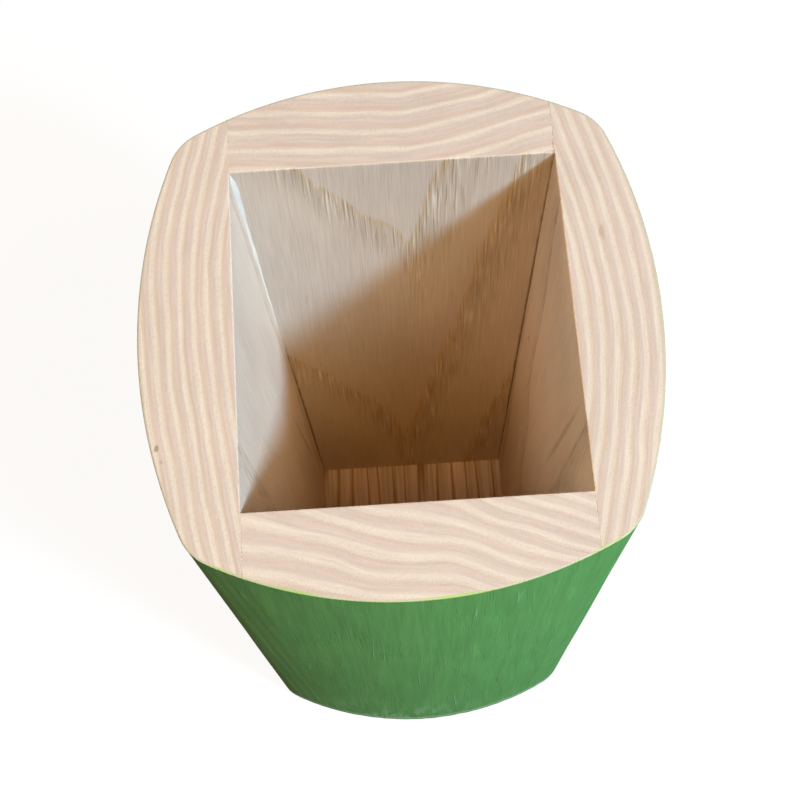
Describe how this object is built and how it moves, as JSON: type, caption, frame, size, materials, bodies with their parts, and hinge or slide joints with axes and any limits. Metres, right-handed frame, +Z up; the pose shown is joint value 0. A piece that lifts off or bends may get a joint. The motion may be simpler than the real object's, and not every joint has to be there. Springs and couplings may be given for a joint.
{
  "type": "pen cup",
  "caption": "Tall pen holder cup of glued ash boards with a rounded-square outline, a narrowing rectangular well and a green painted outside.",
  "frame": {"origin": "middle of the foot, on the surface the cup stands on", "axes": "+Z up out of the mouth, -Y to the front, +X to the right seen from the front"},
  "size_m": [0.06, 0.063, 0.115],
  "materials": {
    "painted_ash": "satin green paint outside, bare fine-sanded ash on the rim and inside",
    "bare_ash": "bare fine-sanded ash"
  },
  "bodies": {
    "root": {"left_wall": "painted_ash", "right_wall": "painted_ash", "front_wall": "painted_ash", "back_wall": "painted_ash", "floor_board": "bare_ash"}
  },
  "joints": []
}
